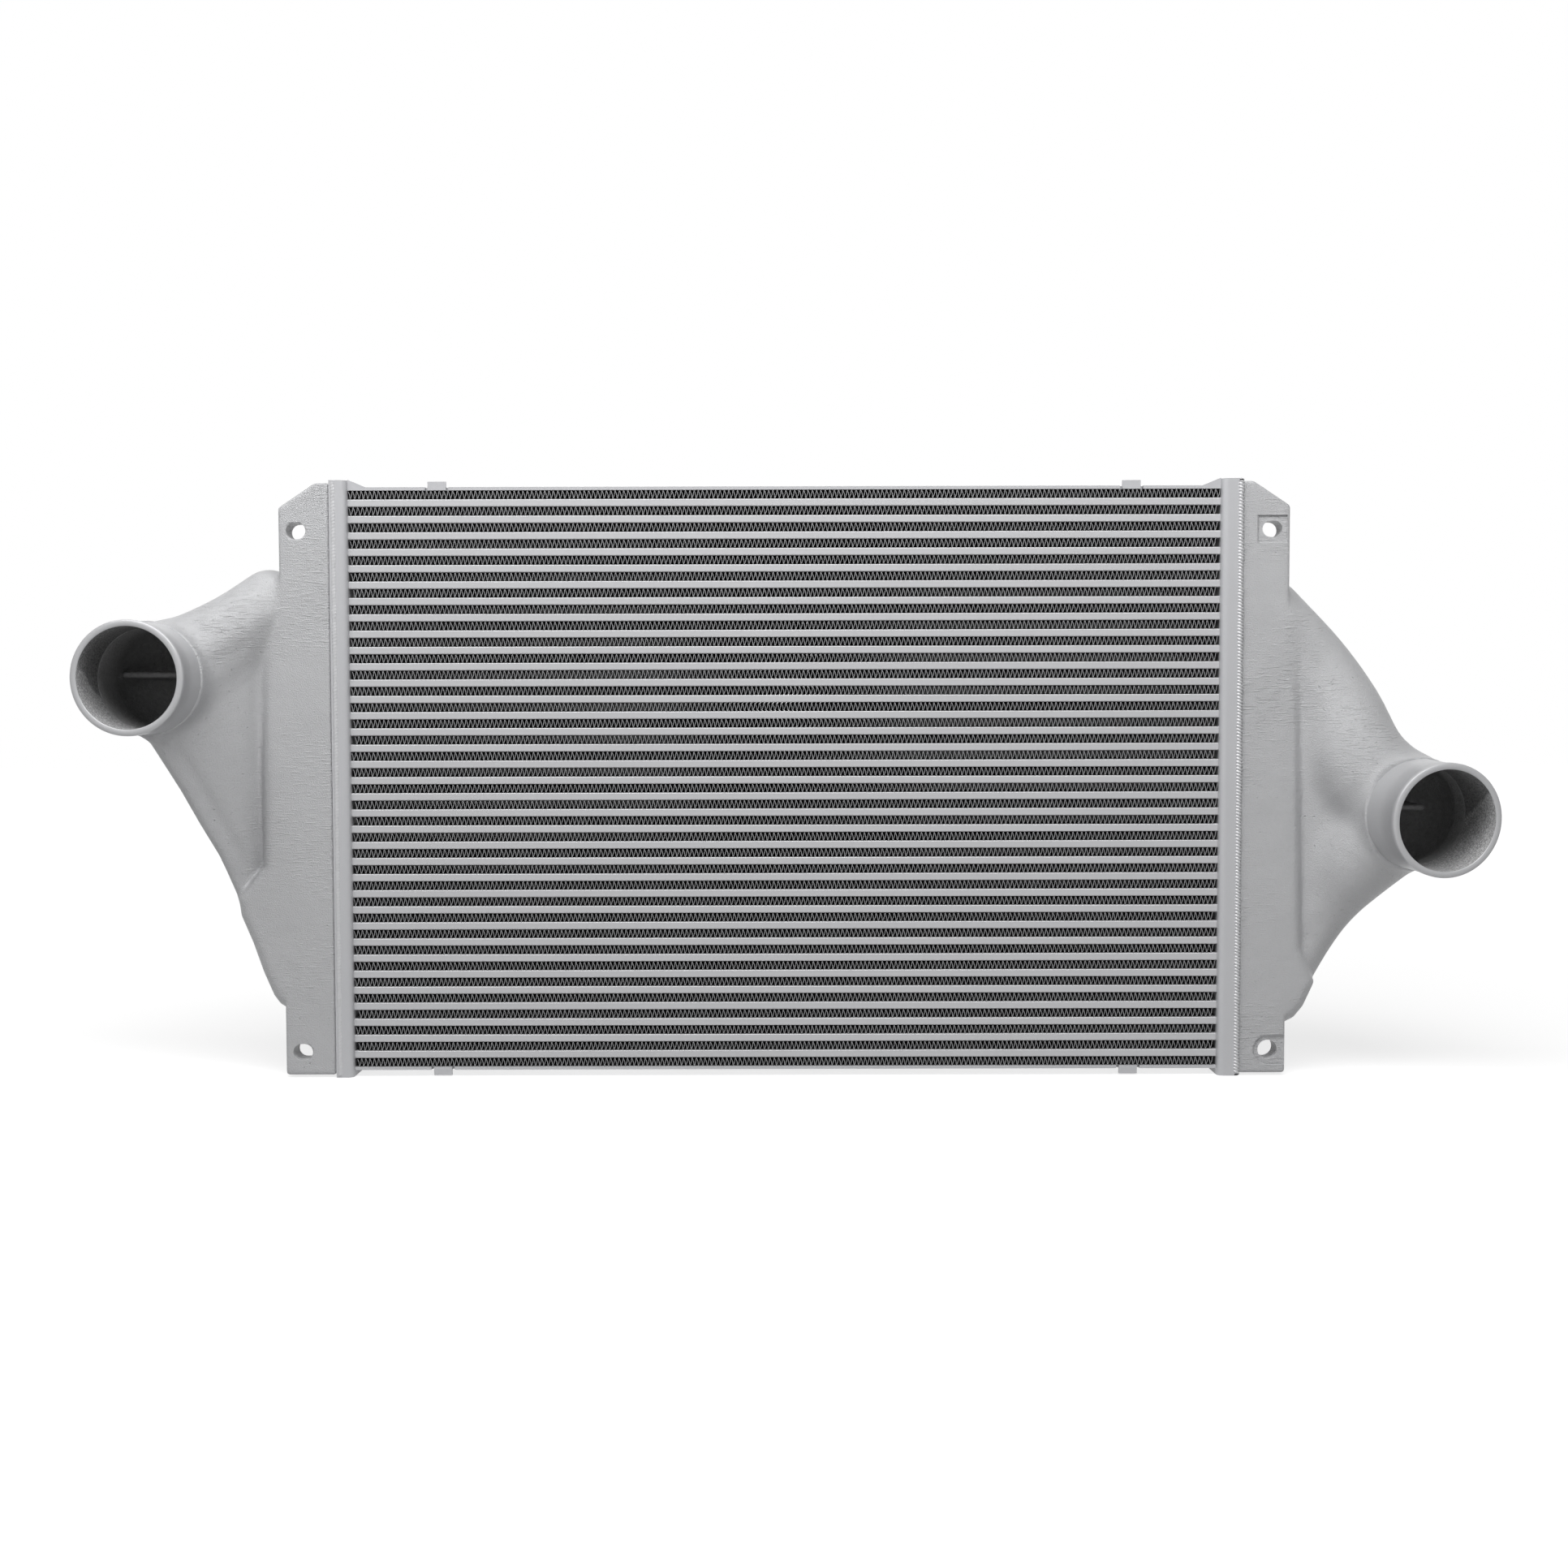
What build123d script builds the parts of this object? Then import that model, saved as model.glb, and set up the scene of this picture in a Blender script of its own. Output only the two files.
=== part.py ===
from build123d import *
from math import cos, sin, copysign, radians
import os

os.makedirs("parts", exist_ok=True)

# Charge air cooler of a heavy truck: a brazed core of flat tubes and corrugated fins, a slotted
# header plate at each side, and a cast tank welded on each header, with one hose neck each.
# +X is to the right seen from the front, +Y away from the viewer, +Z up. The origin is midway
# between the two upper mounting slots, on the front face of the tanks and their ears.

# Core: flat tubes with air fins between them
tube_count = 35
tube_height = 7.0
tube_depth = 51.0
tube_wall = 0.8
tube_overhang = 3.0
fin_height = 8.2
fin_sheet = 1.0
fin_folds = 8
fin_end_gap = 1.5
core_width = 812.0
turbulator_folds = 3
turbulator_sheet = 0.5
turbulator_gap = 0.1
turbulator_end_gap = 12.0
tubes_per_turbulator_node = 12
rows_per_fin_node = 4

# Side plates that close the core above and below
side_plate_thickness = 3.0
tab_width = 17.0
tab_rise = 5.0
tab_spacing = 646.0
tab_relief = 2.5
tab_relief_length = 5.0
end_turn_up = 7.0
end_turn_length = 17.0

# Header plates: pressed pans, open towards the tank
header_web = 4.0
header_flange = 16.0
header_corner_radius = 6.0
tank_margin = 6.9
header_lip = 2.0
tank_reach = 4.5
braze_gap = 0.1

# Cast tanks
tank_wall = 5.0
channel_width = 21.0
ear_reach = 48.0
ear_thickness = 22.0
ear_chamfer_width = 34.5
ear_chamfer_drop = 23.0

# Mounting holes in the ears
slot_width = 15.2
slot_length = 18.4
slot_from_top = 44.5
slot_from_edge = 16.5
lower_hole_radius = 9.2
lower_hole_rise = 22.0
recess_depth = 1.5
recess_width = 27.0
recess_height = 25.0
recess_margin = 4.6
pip_radius = 2.2
pip_height = 1.6
pip_rise = 26.0

# Hose necks
neck_radius = 50.8
neck_wall = 5.0
neck_length = 42.0
neck_lip_height = 0.8
neck_lip_width = 6.0
collar_step = 1.0
vane_thickness = 5.0
vane_length = 95.0

# Funnels: a fan runs from the wall of each tank to the round elbow behind its neck. Its front
# starts a step behind the tank's ridge and slopes forward to the neck
elbow_setback = 52.0
elbow_front = 44.0
fan_start = 40.0
fan_step = 5.0
fan_slope_end = 18.0
fan_back_round = 26.0
fan_front_round = 18.0
fan_wall = 8.0
ridge_round = 8.0

# Left tank: its neck, its fan and the outline of its deep part, as distances out from the
# weld and up from the core's middle
left_neck_out = 160.0
left_neck_forward = 86.0
left_neck_height = 95.5
left_neck_swing = 4.0
left_neck_dip = 0.0
left_fan_top = 207.0
left_fan_foot_out = 85.0
left_fan_foot_height = -116.0
left_body_top = 200.0
left_body_bottom = -218.0
left_ridge_out = 67.0
left_shoulder = 32.0
left_skirt_out = 90.0
left_skirt_height = -126.0
left_skirt_foot = 9.0

# Right tank: the same sizes for its own neck, fan and outline
right_neck_out = 167.0
right_neck_forward = 84.0
right_neck_height = -34.0
right_neck_swing = 20.0
right_neck_dip = 6.5
right_fan_top = 198.0
right_body_top = 195.0
right_body_bottom = -231.0
right_ridge_out = 60.0
right_shoulder = 30.0
right_skirt_out = 76.0
right_skirt_height = -196.0
right_skirt_foot = 14.0

# Sizes that follow from the ones above
row_pitch = tube_height + fin_height
core_height = tube_count * row_pitch + fin_height
header_face = core_width / 2
weld_line = header_face + header_flange
tank_depth = tube_depth + 2 * tank_reach
mid_depth = tank_depth / 2
tank_height = core_height + 2 * tank_margin
tank_top = slot_from_top
core_middle = tank_top - tank_height / 2
tank_bottom = tank_top - tank_height
core_bottom = core_middle - core_height / 2
core_top = core_middle + core_height / 2
header_depth = tank_depth + 2 * header_lip
header_height = tank_height + 2 * header_lip
tube_length = core_width + 2 * (header_web + tube_overhang)
ear_edge = weld_line + ear_reach
slot_spacing = 2 * (ear_edge - slot_from_edge)


def keep(part, name):
    """Label a finished piece and write its file."""
    part.label = name
    export_step(part, "parts/" + name + ".step")


def tube_middle(index):
    """Height of a tube's middle, counted from the lowest tube."""
    return core_bottom + fin_height + tube_height / 2 + index * row_pitch


def fin_middle(index):
    """Height of a fin row's middle, counted from the lowest row."""
    return core_bottom + fin_height / 2 + index * row_pitch


def folded_strip(length, height, sheet, folds):
    """Points of a zigzag strip of sheet, its crests touching both sides of its space."""
    step = length / folds
    rise = height / 2
    slope = (height - sheet) / step
    half = sheet * (1 + slope * slope) ** 0.5 / (2 * slope)
    upper = []
    lower = []
    for index in range(folds + 1):
        crest = rise if index % 2 else -rise
        tip = -length / 2 + index * step
        inner = crest - copysign(2 * half * slope, crest)
        near, far = (crest, inner) if crest > 0 else (inner, crest)
        upper.append((tip, near))
        lower.append((tip, far))
    return upper + lower[::-1]


def fin_rows(first, last):
    """Corrugated air fins of the rows from first up to, not including, last."""
    with BuildPart() as fins:
        for row in range(first, last):
            plane = Plane.XZ.offset(-(mid_depth + tube_depth / 2)).shift_origin(
                (0, mid_depth + tube_depth / 2, fin_middle(row))
            )
            with BuildSketch(plane):
                with BuildLine():
                    Polyline(
                        *folded_strip(core_width - 2 * fin_end_gap, fin_height, fin_sheet, fin_folds),
                        close=True,
                    )
                make_face()
            extrude(amount=tube_depth)
    return fins.part


def flat_tube(index):
    """One hollow charge air tube."""
    plane = Plane.YZ.offset(-tube_length / 2).shift_origin(
        (-tube_length / 2, mid_depth, tube_middle(index))
    )
    with BuildPart() as tube:
        with BuildSketch(plane):
            Rectangle(tube_depth, tube_height)
            Rectangle(tube_depth - 2 * tube_wall, tube_height - 2 * tube_wall, mode=Mode.SUBTRACT)
        extrude(amount=tube_length)
    return tube.part


def turbulators(first, last):
    """Folded strips that lie inside the tubes from first up to, not including, last."""
    width = tube_depth - 2 * (tube_wall + turbulator_gap)
    height = tube_height - 2 * tube_wall
    length = tube_length - 2 * turbulator_end_gap
    with BuildPart() as strips:
        for index in range(first, last):
            plane = Plane.YZ.offset(-length / 2).shift_origin(
                (-length / 2, mid_depth, tube_middle(index))
            )
            with BuildSketch(plane):
                with BuildLine():
                    Polyline(
                        *folded_strip(width, height, turbulator_sheet, turbulator_folds), close=True
                    )
                make_face()
            extrude(amount=length)
    return strips.part


def header(side):
    """Header pan with a slot for every tube, open towards its tank."""
    middle = side * (header_face + header_flange / 2)
    core_side = 0 if side > 0 else -1
    with BuildPart() as hollow:
        with Locations((middle + side * header_web, mid_depth, core_middle)):
            Box(header_flange, header_depth - 2 * header_web, header_height - 2 * header_web)
        edges = hollow.edges().filter_by(Axis.Z).group_by(Axis.X)[core_side]
        fillet(edges, header_corner_radius - header_web)
    with BuildPart() as pan:
        with Locations((middle, mid_depth, core_middle)):
            Box(header_flange, header_depth, header_height)
        fillet(pan.edges().filter_by(Axis.Z).group_by(Axis.X)[core_side], header_corner_radius)
        add(hollow.part, mode=Mode.SUBTRACT)
        with BuildSketch(Plane.YZ.offset(side * header_face)):
            for index in range(tube_count):
                with Locations((mid_depth, tube_middle(index))):
                    Rectangle(tube_depth + 2 * braze_gap, tube_height + 2 * braze_gap)
        extrude(amount=side * header_web, mode=Mode.SUBTRACT)
    return pan.part


def side_plate(top):
    """Plate that closes the core above or below, with two bent tabs on its front edge."""
    way = 1 if top else -1
    inner = core_top if top else core_bottom
    outer = inner + way * side_plate_thickness
    front = mid_depth - tube_depth / 2
    half = header_face
    with BuildPart() as plate:
        with BuildSketch(Plane.XZ.offset(-front)):
            with BuildLine():
                edge = [(-half, inner), (half, inner)]
                if top:
                    edge += [
                        (half, outer + end_turn_up),
                        (half - end_turn_length, outer),
                        (end_turn_length - half, outer),
                        (-half, outer + end_turn_up),
                    ]
                else:
                    edge += [(half, outer), (-half, outer)]
                Polyline(*edge, close=True)
            make_face()
        extrude(amount=-tube_depth)
        for middle in (-tab_spacing / 2, tab_spacing / 2):
            tab_z = outer + way * tab_rise / 2
            with Locations((middle, front + side_plate_thickness / 2, tab_z)):
                Box(tab_width, side_plate_thickness, tab_rise)
            for beside in (-1, 1):
                relief_x = middle + beside * (tab_width + tab_relief) / 2
                with Locations((relief_x, front, inner)):
                    Box(tab_relief, 2 * tab_relief_length, 3 * side_plate_thickness, mode=Mode.SUBTRACT)
    return plate.part


def weld_bead(side):
    """Fillet weld that runs round the joint of a header and its tank."""
    with BuildPart() as bead:
        with BuildSketch(Plane.YZ.offset(side * weld_line)):
            with Locations((mid_depth, core_middle)):
                Rectangle(header_depth, header_height)
                Rectangle(tank_depth, tank_height, mode=Mode.SUBTRACT)
        extrude(amount=side * 2 * header_lip)
        far_face = bead.faces().sort_by(Axis.X)[-1 if side > 0 else 0]
        chamfer(far_face.outer_wire().edges(), 0.6 * header_lip)
    return bead.part


class Duct:
    """Middle lines of a hose neck and of the elbow behind it."""

    def __init__(self, side, out, forward, height, swing, dip):
        self.side = side
        across = side * sin(radians(swing)) * cos(radians(dip))
        ahead = -cos(radians(swing)) * cos(radians(dip))
        self.axis = Vector(across, ahead, -sin(radians(dip)))
        self.mouth = Vector(side * (weld_line + out), -forward, core_middle + height)
        self.base = self.mouth - self.axis * neck_length
        self.elbow = self.base - self.axis * elbow_setback


def prism(plane, points, depth, inset):
    """Straight block on a closed outline, drawn in by inset at its sides."""
    with BuildPart() as block:
        with BuildSketch(plane):
            with BuildLine():
                Polyline(*points, close=True)
            make_face()
            if inset:
                offset(amount=-inset)
        extrude(amount=depth)
    return block.part


def fan(duct, starts, inset):
    """Fan of a funnel, drawn in by inset. Its front edges are rounded outside only, where the
    wall is thick enough."""
    side = duct.side
    front = duct.elbow.Y - elbow_front
    start_x, elbow_x = side * (weld_line + fan_start), duct.elbow.X
    far_x = elbow_x + side * 2 * neck_radius
    slope = [
        (start_x, fan_step),
        (side * ear_edge, fan_step),
        (elbow_x - side * fan_slope_end, front),
        (far_x, front),
        (far_x, 2 * tank_depth),
        (start_x, 2 * tank_depth),
    ]
    wedge = prism(Plane.XY.offset(tank_bottom), slope, tank_height, inset)
    with BuildPart() as form:
        with BuildSketch(Plane.XZ.offset(inset - tank_depth)):
            with Locations((elbow_x, duct.elbow.Z)):
                Circle(neck_radius + collar_step)
            with BuildLine():
                Polyline(*starts, close=True)
            make_face()
            make_hull()
            if inset:
                offset(amount=-inset)
        extrude(amount=tank_depth - inset - front)
        back_edges = form.faces().sort_by(Axis.Y)[-1].edges().filter_by(Axis.Z, reverse=True)
        fillet(back_edges, fan_back_round - inset)
        add(wedge, mode=Mode.INTERSECT)
        if not inset:
            low_end = form.faces().sort_by(Axis.Z)[0].center().Z
            front_edges = form.edges().filter_by(GeomType.LINE).filter_by(
                lambda edge: edge.center().Y < 0 and edge.center().Z > low_end + fan_step
            )
            fillet(front_edges.filter_by(Axis.Z, reverse=True), fan_front_round)
        with BuildSketch(Plane(origin=duct.elbow, z_dir=duct.axis)):
            Circle(neck_radius + collar_step - inset)
        extrude(amount=elbow_setback)
    return form.part


def hollow_form(duct, outline, starts, inset, fan_inset):
    """Deep part of a tank with its funnel, drawn in all round: once for the outside, once for
    the hollow."""
    plane = Plane.XZ.offset(inset - tank_depth)
    with BuildPart() as form:
        add(prism(plane, outline, tank_depth - 2 * inset, inset))
        if not inset:
            ridge_edges = form.edges().filter_by(Plane.XZ).filter_by(
                lambda edge: abs(edge.center().X) > ear_edge
            )
            fillet(ridge_edges, ridge_round)
        add(fan(duct, starts, fan_inset))
    return form.part


def mirrored(side, points):
    """Front view points as distances from the weld and from the core's middle, placed on a side."""
    return [(side * (weld_line + out), core_middle + height) for out, height in points]


def ear_outline(side):
    """Front view of the full height of a tank with its mounting ears."""
    top = tank_top - core_middle
    bottom = tank_bottom - core_middle
    return mirrored(
        side,
        [
            (0, bottom),
            (ear_reach, bottom),
            (ear_reach, top - ear_chamfer_drop),
            (ear_reach - ear_chamfer_width, top),
            (0, top),
        ],
    )


def ear_cuts(side):
    """Mounting holes through the ears, and the machined faces round the right ones."""
    upper = (side * slot_spacing / 2, 0)
    lower = (side * slot_spacing / 2, tank_bottom + lower_hole_rise)
    with BuildPart() as cuts:
        with BuildSketch(Plane.XZ.offset(-2 * ear_thickness)):
            with Locations(upper):
                SlotOverall(slot_length, slot_width)
            with Locations(lower):
                if side > 0:
                    Circle(lower_hole_radius)
                else:
                    SlotOverall(slot_length, slot_width)
        extrude(amount=3 * ear_thickness)
        if side > 0:
            with BuildSketch(Plane.XZ.offset(-recess_depth)):
                with Locations(upper):
                    Rectangle(recess_width, recess_height)
                with Locations((lower[0] + recess_width / 2, lower[1])):
                    SlotOverall(2 * recess_width, 2 * (lower_hole_radius + recess_margin))
            extrude(amount=2 * recess_depth)
    return cuts.part


def tank(duct, outline, starts):
    """Cast tank: channel along the header, ears with holes, deep middle, duct and neck."""
    side = duct.side
    channel_x = side * (weld_line + channel_width / 2)
    outer = hollow_form(duct, outline, starts, 0, 0)
    inner = hollow_form(duct, outline, starts, tank_wall, fan_wall)
    with BuildPart() as vane:
        add(outer)
        with Locations((side * (ear_edge + vane_length / 2), mid_depth, duct.elbow.Z)):
            Box(vane_length, tank_depth, vane_thickness, mode=Mode.INTERSECT)
    with BuildPart() as casting:
        with BuildSketch(Plane.XZ.offset(-tank_depth)):
            with BuildLine():
                Polyline(*ear_outline(side), close=True)
            make_face()
            with Locations((channel_x, core_middle)):
                Rectangle(channel_width, tank_height, mode=Mode.INTERSECT)
        extrude(amount=tank_depth)
        with BuildSketch(Plane.XZ.offset(-ear_thickness)):
            with BuildLine():
                Polyline(*ear_outline(side), close=True)
            make_face()
        extrude(amount=ear_thickness)
        add(outer)
        with BuildSketch(Plane(origin=duct.base, z_dir=duct.axis)):
            Circle(neck_radius)
        extrude(amount=neck_length)
        with BuildSketch(Plane(origin=duct.mouth, z_dir=duct.axis)):
            Circle(neck_radius + neck_lip_height)
        extrude(amount=-neck_lip_width)
        with Locations((channel_x - side * tank_wall, mid_depth, core_middle)):
            Box(
                channel_width,
                tank_depth - 2 * tank_wall,
                tank_height - 2 * tank_wall,
                mode=Mode.SUBTRACT,
            )
        add(inner, mode=Mode.SUBTRACT)
        with BuildSketch(Plane(origin=duct.elbow, z_dir=duct.axis)):
            Circle(neck_radius - neck_wall)
        extrude(amount=elbow_setback + neck_length, mode=Mode.SUBTRACT)
        add(vane.part)
        add(ear_cuts(side), mode=Mode.SUBTRACT)
        pip = (side * slot_spacing / 2, 0, tank_bottom + lower_hole_rise + pip_rise)
        with Locations(Location(pip, (90, 0, 0))):
            Cylinder(pip_radius, pip_height, align=(Align.CENTER, Align.CENTER, Align.MIN))
    return casting.part


def keep_tank(duct, outline, starts, name):
    """Write a casting as two pieces that meet face to face: the tank up to the edge of its ears,
    and the funnel with the hose neck beyond that."""
    casting = tank(duct, outline, starts)
    tank_place = Location((duct.side * (weld_line + ear_reach / 2), mid_depth, core_middle))
    tank_space = (ear_reach, 2 * tank_depth, 2 * tank_height)
    with BuildPart() as body:
        add(casting)
        with Locations(tank_place):
            Box(*tank_space, mode=Mode.INTERSECT)
    with BuildPart() as funnel:
        add(casting)
        with Locations(tank_place):
            Box(*tank_space, mode=Mode.SUBTRACT)
    keep(body.part, "tank_" + name)
    keep(funnel.part, "funnel_" + name)


for number in range(tube_count):
    keep(flat_tube(number), f"charge_air_tube_{number + 1:02d}")

fin_nodes = -(-(tube_count + 1) // rows_per_fin_node)
for group in range(fin_nodes):
    start = group * rows_per_fin_node
    stop = min(start + rows_per_fin_node, tube_count + 1)
    keep(fin_rows(start, stop), f"air_fins_{group + 1:02d}")

strip_nodes = -(-tube_count // tubes_per_turbulator_node)
for group in range(strip_nodes):
    start = group * tubes_per_turbulator_node
    stop = min(start + tubes_per_turbulator_node, tube_count)
    keep(turbulators(start, stop), f"turbulators_{group + 1:02d}")

keep(header(-1), "header_left")
keep(header(1), "header_right")
keep(side_plate(True), "side_plate_top")
keep(side_plate(False), "side_plate_bottom")
keep(weld_bead(-1), "header_weld_left")
keep(weld_bead(1), "header_weld_right")

left_duct = Duct(
    -1, left_neck_out, left_neck_forward, left_neck_height, left_neck_swing, left_neck_dip
)
left_body = mirrored(
    -1,
    [
        (0, left_body_top),
        (ear_reach, left_body_top),
        (left_ridge_out, left_body_top - left_shoulder),
        (left_ridge_out, left_skirt_height + left_shoulder),
        (left_skirt_out, left_skirt_height),
        (ear_reach + left_skirt_foot, left_body_bottom),
        (0, left_body_bottom),
    ],
)
left_starts = mirrored(
    -1,
    [
        (fan_start, left_fan_top),
        (left_fan_foot_out, left_fan_foot_height),
        (fan_start, left_fan_foot_height),
    ],
)
keep_tank(left_duct, left_body, left_starts, "left")

right_duct = Duct(
    1, right_neck_out, right_neck_forward, right_neck_height, right_neck_swing, right_neck_dip
)
right_body = mirrored(
    1,
    [
        (0, right_body_top),
        (ear_reach, right_body_top),
        (right_ridge_out, right_body_top - right_shoulder),
        (right_ridge_out, right_skirt_height + right_shoulder),
        (right_skirt_out, right_skirt_height),
        (ear_reach + right_skirt_foot, right_body_bottom),
        (0, right_body_bottom),
    ],
)
right_starts = mirrored(
    1,
    [
        (fan_start, right_fan_top),
        (right_skirt_out, right_skirt_height),
        (fan_start, right_skirt_height),
    ],
)
keep_tank(right_duct, right_body, right_starts, "right")
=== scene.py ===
import math
import random

import bpy
import numpy as np
from mathutils import Matrix, Vector


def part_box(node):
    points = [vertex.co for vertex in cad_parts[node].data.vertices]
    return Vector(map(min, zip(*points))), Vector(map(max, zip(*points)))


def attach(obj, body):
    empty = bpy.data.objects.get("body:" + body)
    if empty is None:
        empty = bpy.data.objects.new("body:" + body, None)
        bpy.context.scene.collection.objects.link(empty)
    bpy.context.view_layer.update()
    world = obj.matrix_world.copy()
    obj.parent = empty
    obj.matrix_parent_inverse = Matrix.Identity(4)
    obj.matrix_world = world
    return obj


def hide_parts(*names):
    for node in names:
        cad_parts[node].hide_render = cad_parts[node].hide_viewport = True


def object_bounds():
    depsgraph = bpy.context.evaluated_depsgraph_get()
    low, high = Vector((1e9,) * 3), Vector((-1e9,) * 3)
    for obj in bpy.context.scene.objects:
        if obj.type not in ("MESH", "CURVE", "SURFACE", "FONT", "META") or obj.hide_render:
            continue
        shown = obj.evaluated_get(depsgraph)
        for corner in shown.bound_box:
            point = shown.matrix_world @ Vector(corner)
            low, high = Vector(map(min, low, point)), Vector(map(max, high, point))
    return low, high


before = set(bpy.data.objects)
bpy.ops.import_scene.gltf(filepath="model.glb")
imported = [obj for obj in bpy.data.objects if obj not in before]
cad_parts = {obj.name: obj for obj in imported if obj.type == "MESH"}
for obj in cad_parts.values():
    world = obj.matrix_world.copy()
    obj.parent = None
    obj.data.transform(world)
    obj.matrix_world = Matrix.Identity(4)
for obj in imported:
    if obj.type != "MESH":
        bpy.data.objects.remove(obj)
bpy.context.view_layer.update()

# A truck's charge air cooler, silver-grey all over: a core of flat tubes and serpentine fins,
# pressed headers, cast tanks with swung hose necks, and the welds between them.
# +X right, +Y away from the camera, +Z up, metres, origin between the two upper slots.

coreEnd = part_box("side_plate_top")[1].x  # half the width of the core
tubeNames = sorted(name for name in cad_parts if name.startswith("charge_air_tube"))
finNames = sorted(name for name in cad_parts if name.startswith("air_fins"))
stripNames = sorted(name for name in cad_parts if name.startswith("turbulators"))
print("frame loaded:", len(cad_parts), "nodes")


# Small mesh helpers

def makeMesh(name, points, faces, materials, smooth=True, faceSlots=None):
    mesh = bpy.data.meshes.new(name)
    points = np.asarray(points, np.float32)
    faces = np.asarray(faces, np.int32)
    corners = faces.shape[1]
    mesh.vertices.add(len(points))
    mesh.vertices.foreach_set("co", points.ravel())
    mesh.loops.add(faces.size)
    mesh.loops.foreach_set("vertex_index", faces.ravel())
    mesh.polygons.add(len(faces))
    mesh.polygons.foreach_set("loop_start", np.arange(0, faces.size, corners, dtype=np.int32))
    if faceSlots is not None:
        mesh.polygons.foreach_set("material_index", np.asarray(faceSlots, np.int32))
    mesh.update(calc_edges=True)
    mesh.validate()
    for material in materials:
        mesh.materials.append(material)
    mesh.polygons.foreach_set("use_smooth", np.full(len(mesh.polygons), smooth))
    piece = bpy.data.objects.new(name, mesh)
    bpy.context.scene.collection.objects.link(piece)
    return piece


def gridFaces(rows, columns, closeRows=False, closeColumns=False, start=0):
    # quads of a grid of points laid out row by row
    r = np.arange(rows if closeRows else rows - 1)
    c = np.arange(columns if closeColumns else columns - 1)
    r, c = np.meshgrid(r, c, indexing="ij")
    nextR, nextC = (r + 1) % rows, (c + 1) % columns
    quads = np.stack([r * columns + c, nextR * columns + c, nextR * columns + nextC, r * columns + nextC], -1)
    return quads.reshape(-1, 4) + start


def dress(piece, slotName, *nodes):
    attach(piece, "root")
    if nodes:
        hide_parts(*nodes)


# Shader groups

def newGroup(name, inputs, outputs):
    group = bpy.data.node_groups.new(name, "ShaderNodeTree")
    for label, kind, value in inputs:
        socket = group.interface.new_socket(label, in_out="INPUT", socket_type=kind)
        socket.default_value = value
    for label, kind in outputs:
        group.interface.new_socket(label, in_out="OUTPUT", socket_type=kind)
    return group, group.nodes.new("NodeGroupInput"), group.nodes.new("NodeGroupOutput")


def mathNode(nodes, links, kind, first, second, clamp=False):
    node = nodes.new("ShaderNodeMath")
    node.operation = kind
    node.use_clamp = clamp
    for index, value in enumerate((first, second)):
        if isinstance(value, (int, float)):
            node.inputs[index].default_value = value
        else:
            links.new(value, node.inputs[index])
    return node.outputs[0]


def noiseNode(nodes, links, place, scale, detail, roughness=0.5):
    node = nodes.new("ShaderNodeTexNoise")
    node.inputs["Detail"].default_value = detail
    node.inputs["Roughness"].default_value = roughness
    links.new(place, node.inputs["Vector"])
    if isinstance(scale, (int, float)):
        node.inputs["Scale"].default_value = scale
    else:
        links.new(scale, node.inputs["Scale"])
    return node.outputs["Fac"]


def swingNode(nodes, links, noise, share):
    # turns noise round 0.5 into a swing to both sides of zero
    return mathNode(nodes, links, "MULTIPLY", mathNode(nodes, links, "SUBTRACT", noise, 0.5), share)


def stretch(nodes, links, place, factors):
    node = nodes.new("ShaderNodeVectorMath")
    node.operation = "MULTIPLY"
    node.inputs[1].default_value = factors
    links.new(place, node.inputs[0])
    return node.outputs[0]


def rampNode(nodes, links, value, span):
    node = nodes.new("ShaderNodeMapRange")
    node.inputs["From Min"].default_value, node.inputs["From Max"].default_value = span
    links.new(value, node.inputs["Value"])
    return node.outputs["Result"]


def shadeColor(nodes, links, color, factor):
    # multiplies a colour by a factor that changes over the surface
    node = nodes.new("ShaderNodeVectorMath")
    node.operation = "SCALE"
    links.new(color, node.inputs[0])
    links.new(factor, node.inputs["Scale"])
    return node.outputs[0]


coatShape = {"cloudScale": 14.0, "fineScale": 260.0, "speckShare": 0.10, "glossSwing": 0.25}


def buildCoatGroup():
    # thin silver-grey coat: mottled tone, sprayed grain, slight changes in gloss
    group, into, out = newGroup(
        "silverCoat",
        [("Color", "NodeSocketColor", (0.6, 0.6, 0.62, 1)), ("Mottle", "NodeSocketFloat", 0.06),
         ("Grain Scale", "NodeSocketFloat", 900.0), ("Grain", "NodeSocketFloat", 0.4),
         ("Roughness", "NodeSocketFloat", 0.45)],
        [("Color", "NodeSocketColor"), ("Roughness", "NodeSocketFloat"), ("Height", "NodeSocketFloat")])
    nodes, links = group.nodes, group.links
    place = nodes.new("ShaderNodeTexCoord").outputs["Object"]
    clouds = noiseNode(nodes, links, place, coatShape["cloudScale"], 4.0)
    grain = noiseNode(nodes, links, place, into.outputs["Grain Scale"], 3.0, 0.6)
    fine = noiseNode(nodes, links, place, coatShape["fineScale"], 3.0, 0.6)
    swing = swingNode(nodes, links, clouds, into.outputs["Mottle"])
    speck = swingNode(nodes, links, grain, coatShape["speckShare"])
    patch = swingNode(nodes, links, fine, into.outputs["Mottle"])
    tone = mathNode(nodes, links, "ADD", mathNode(nodes, links, "ADD", swing, speck), patch)
    shade = mathNode(nodes, links, "ADD", tone, 1.0)
    links.new(shadeColor(nodes, links, into.outputs["Color"], shade), out.inputs["Color"])
    gloss = swingNode(nodes, links, fine, coatShape["glossSwing"])
    rough = mathNode(nodes, links, "ADD", gloss, into.outputs["Roughness"], clamp=True)
    links.new(rough, out.inputs["Roughness"])
    links.new(mathNode(nodes, links, "MULTIPLY", grain, into.outputs["Grain"]), out.inputs["Height"])
    return group


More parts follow.
